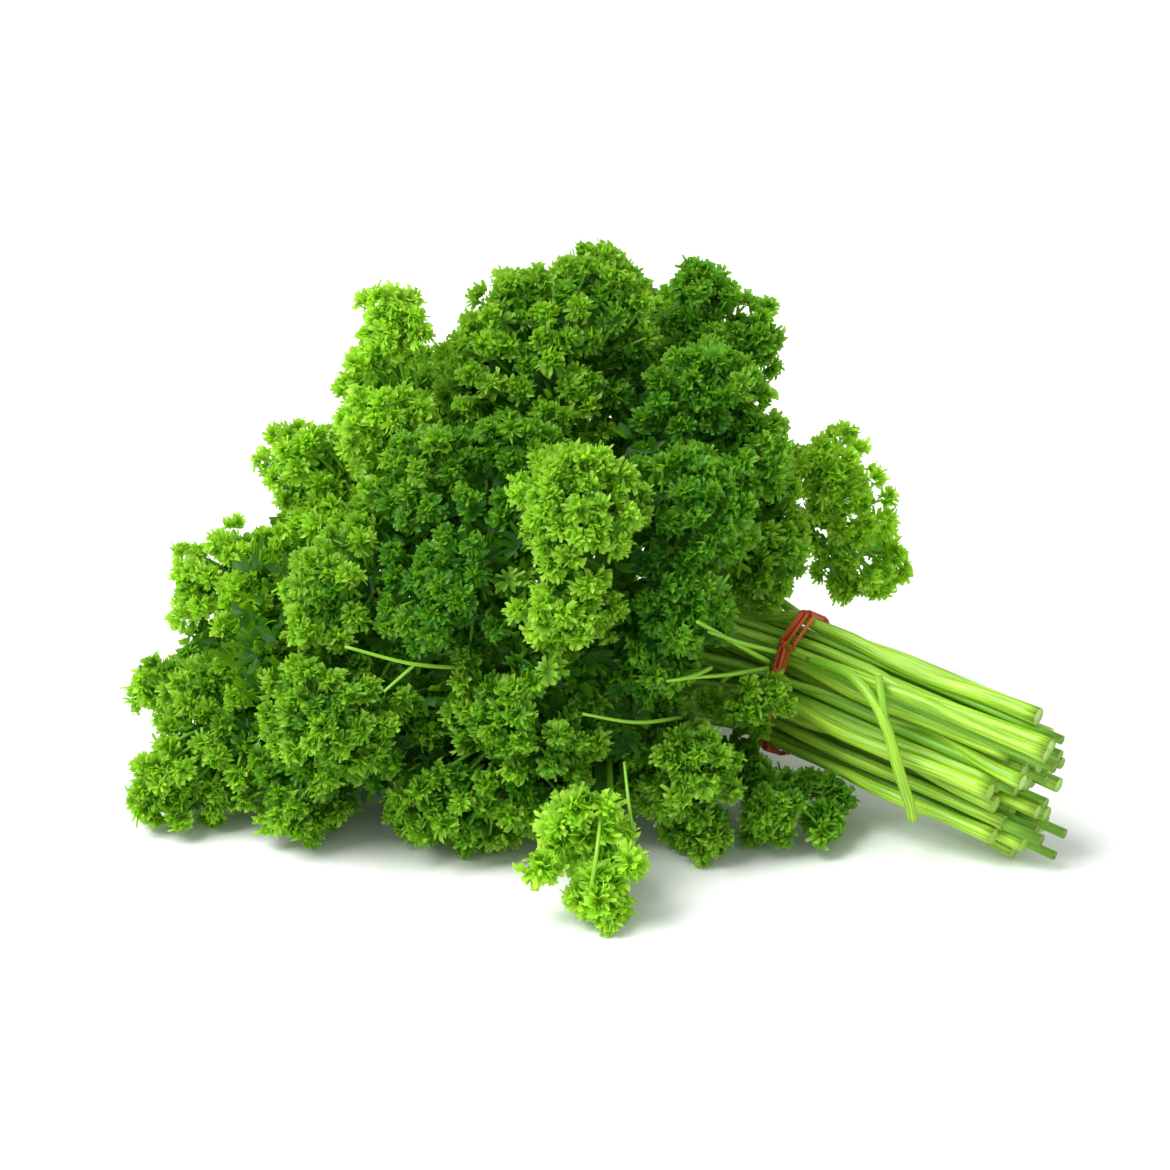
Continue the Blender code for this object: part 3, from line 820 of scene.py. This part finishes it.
def growLeaf(name, style, heads, shades, number):
    node = f"leaf_{name}"
    chance = random.Random(100 + number)
    stemTip = stemLines[f"stem_{name}"][-1, :3]
    low, high = (np.array(v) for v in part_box(node))
    heart = (low + high) / 2
    shape, places, tones, rims, stalkGrain = bmesh.new(), [], [], [], []
    leaflets = []

    def addLeaflet(kind, start, size, turned, tone, rimShare=1.0):
        spots = start + size * kind["places"] @ turned.T
        shape.from_mesh(kind["mesh"])
        places.append(spots)
        rims.append(rimShare * kind["rim"])
        tones.append(np.full(len(spots), tone))
        stalkGrain.append(spots / mm)
        leaflets.append(kind)

    for spot, out, crease in heads:
        if chance.random() < style["skip"]:
            continue
        depth = chance.uniform(3.0, 5.5) * mm
        base = spot - out * depth
        # a head in a crease is painted darker, as painted shade
        headTone = style["tone"] + chance.uniform(-0.14, 0.14) - crowd["paintedCreaseShade"] * crease
        # a head is painted darker the higher it sits above this height: painted shade
        headTone -= 0.035 * max(spot[2] / mm - style["paintedShadeAboveMm"], 0)
        # stalk from the leaf's heart to the head, bowed a little
        root = stemTip + 0.75 * (heart - stemTip) * chance.uniform(0.4, 1.0)
        far = np.linalg.norm(root - base) / (crowd["stalkMm"] * mm)
        root = base + (root - base) / max(far, 1.0)
        bow = np.array([chance.uniform(-1, 1) for _ in range(3)]) * 2.0 * mm
        t = np.linspace(0, 1, 6)[:, None]
        path = root * (1 - t) ** 2 + 2 * ((root + base) / 2 + bow) * t * (1 - t) + base * t**2
        path[:, 2] = np.maximum(path[:, 2], 0.8 * mm)
        spots, grain, _ = bendTube(stalkTube, path, np.linspace(0.62, 0.38, 6) * mm)
        shape.from_mesh(stalkTube["mesh"])
        places.append(spots)
        rims.append(np.zeros(len(spots)))
        tones.append(np.full(len(spots), headTone))
        stalkGrain.append(grain)
        # leaflets fan out of the head
        turn = chance.uniform(0, math.tau)
        side = unit(np.cross(out, [0.31, 0.17, 0.93]))
        other = np.cross(out, side)
        for n in range(style["perHead"]):
            lean = math.radians(chance.uniform(*style["leanDegrees"]))
            turn += math.tau * 0.381966 + chance.uniform(-0.3, 0.3)
            direction = (out * math.cos(lean)
                         + (side * math.cos(turn) + other * math.sin(turn)) * math.sin(lean))
            size = chance.uniform(*style["leafletMm"]) * mm
            roll = chance.gauss(0, 0.6) if lean > 1.0 else chance.uniform(0, math.tau)
            addLeaflet(chance.choice(curlyKinds), base + direction * chance.uniform(0.3, 2.4) * mm, size,
                       facing(direction, out, roll), headTone + chance.uniform(-0.1, 0.1))
        # loose leaflets further in close the leaf behind the head, painted a little darker than the head as
        # painted shade
        for _ in range(style["inner"]):
            turn = chance.uniform(0, math.tau)
            direction = side * math.cos(turn) + other * math.sin(turn) + chance.uniform(-0.9, 0.3) * out
            addLeaflet(chance.choice(curlyKinds), spot - out * chance.uniform(5.5, 9.0) * mm,
                       chance.uniform(3.4, 4.8) * mm, facing(direction, out, chance.gauss(0, 0.7)),
                       headTone - 0.1)
    # leaflets in the dark of the bunch keep the light from coming through; they are painted the darkest green, and
    # a quarter of the rim share darkens them further: painted shade
    for spot, out in shades:
        direction = np.cross(out, [chance.uniform(-1, 1) for _ in range(3)])
        addLeaflet(chance.choice(curlyKinds), spot - unit(direction) * 3.0 * mm,
                   chance.uniform(*crowd["shadeMm"]) * mm, facing(direction, out, chance.gauss(0, 0.9)),
                   0.0, 0.25)
    mesh = bpy.data.meshes.new(f"{name}_leaflets")
    shape.to_mesh(mesh)
    shape.free()
    places = np.concatenate(places)
    floorGap = 0.25 * mm  # leaflets that meet the surface lie flat on it
    lows = places[:, 2] < floorGap
    places[lows, 2] = floorGap + 0.02 * np.abs(places[lows, 2])
    mesh.vertices.foreach_set("co", places.ravel())
    setAttribute(mesh, "tone", np.clip(np.concatenate(tones), 0, 1))
    setAttribute(mesh, "rim", np.concatenate(rims))
    setAttribute(mesh, "grain", np.concatenate(stalkGrain))
    setAttribute(mesh, "along", np.full(len(places), 1.0))
    isStalk = np.zeros(len(mesh.polygons), np.int32)
    starts = np.zeros(len(mesh.polygons), np.int32)
    mesh.polygons.foreach_get("loop_start", starts)
    corner = np.zeros(len(mesh.loops), np.int32)
    mesh.loops.foreach_get("vertex_index", corner)
    isStalk[np.concatenate(rims)[corner[starts]] <= 0] = 1
    for n in range(1, 3):  # a face is a stalk's only if none of its corners has a rim
        isStalk[np.concatenate(rims)[corner[starts + n]] > 0] = 0
    mesh.polygons.foreach_set("material_index", isStalk)
    finishPiece(f"curly_{name}", mesh, [tissue, skinOfStalk], "leaf", node)
    mesh.calc_loop_triangles()
    return len(heads), len(leaflets), len(mesh.loop_triangles)


headsOf, shadesOf, styleOf = headPlaces()
print("heads placed:", sum(len(heads) for heads in headsOf.values()),
      "and shade leaflets:", sum(len(shades) for shades in shadesOf.values()))
totals = np.zeros(3, int)
for number, node in enumerate(leafNodes):
    totals += growLeaf(node.removeprefix("leaf_"), styleOf[node], headsOf[node],
                       shadesOf[node], number)
print("leaves grown: heads, leaflets, triangles", totals)

# ---- floor, light and camera

stageLook = {
    "floor": "#f4f6f5",
    "floorSizeM": 14.0,
    "worldStrength": 0.74,
    "keyStrength": 3.9,
    "keyAngle": 42,
}


def paleFloor():
    made, tree = newMaterial("palePaper")
    skin = addNode(tree, "ShaderNodeBsdfPrincipled", {
        "Base Color": toLinear(stageLook["floor"]), "Roughness": 0.75})
    addNode(tree, "ShaderNodeOutputMaterial", {"Surface": skin.outputs[0]})
    shape = bmesh.new()
    bmesh.ops.create_grid(shape, x_segments=1, y_segments=1, size=stageLook["floorSizeM"] / 2)
    mesh = bpy.data.meshes.new("floor")
    shape.to_mesh(mesh)
    shape.free()
    mesh.materials.append(made)
    floor = bpy.data.objects.new("floor", mesh)
    bpy.context.scene.collection.objects.link(floor)


def softKey(aimFrom):
    # a very wide distant softbox, so the paper is lit evenly
    data = bpy.data.lights.new("softKey", "SUN")
    data.energy = stageLook["keyStrength"]
    data.angle = math.radians(stageLook["keyAngle"])
    lamp = bpy.data.objects.new("softKey", data)
    lamp.rotation_euler = (-Vector(aimFrom)).to_track_quat("-Z", "Y").to_euler()
    bpy.context.scene.collection.objects.link(lamp)


paleFloor()
softKey((-0.7, -0.25, 1.0))
world = bpy.data.worlds.new("paleStudio")
world.use_nodes = True
world.node_tree.nodes["Background"].inputs["Color"].default_value = (1, 1, 1, 1)
world.node_tree.nodes["Background"].inputs["Strength"].default_value = stageLook["worldStrength"]
bpy.context.scene.world = world
bpy.context.scene.view_settings.view_transform = "Standard"

cameraSetup = {"aim": (0.0007, 0.0077, 0.057), "distance": 0.9, "elevation": 22.0, "lens": 98.9}


def placeCamera():
    data = bpy.data.cameras.new("camera")
    data.sensor_width = 36.0
    data.lens = cameraSetup["lens"]
    data.clip_end = 50.0
    camera = bpy.data.objects.new("camera", data)
    tilt = math.radians(cameraSetup["elevation"])
    back = Vector((0, -math.cos(tilt), math.sin(tilt))) * cameraSetup["distance"]
    camera.location = Vector(cameraSetup["aim"]) + back
    camera.rotation_euler = Euler((math.pi / 2 - tilt, 0, 0))
    bpy.context.scene.collection.objects.link(camera)
    bpy.context.scene.camera = camera


placeCamera()
print("stage set")
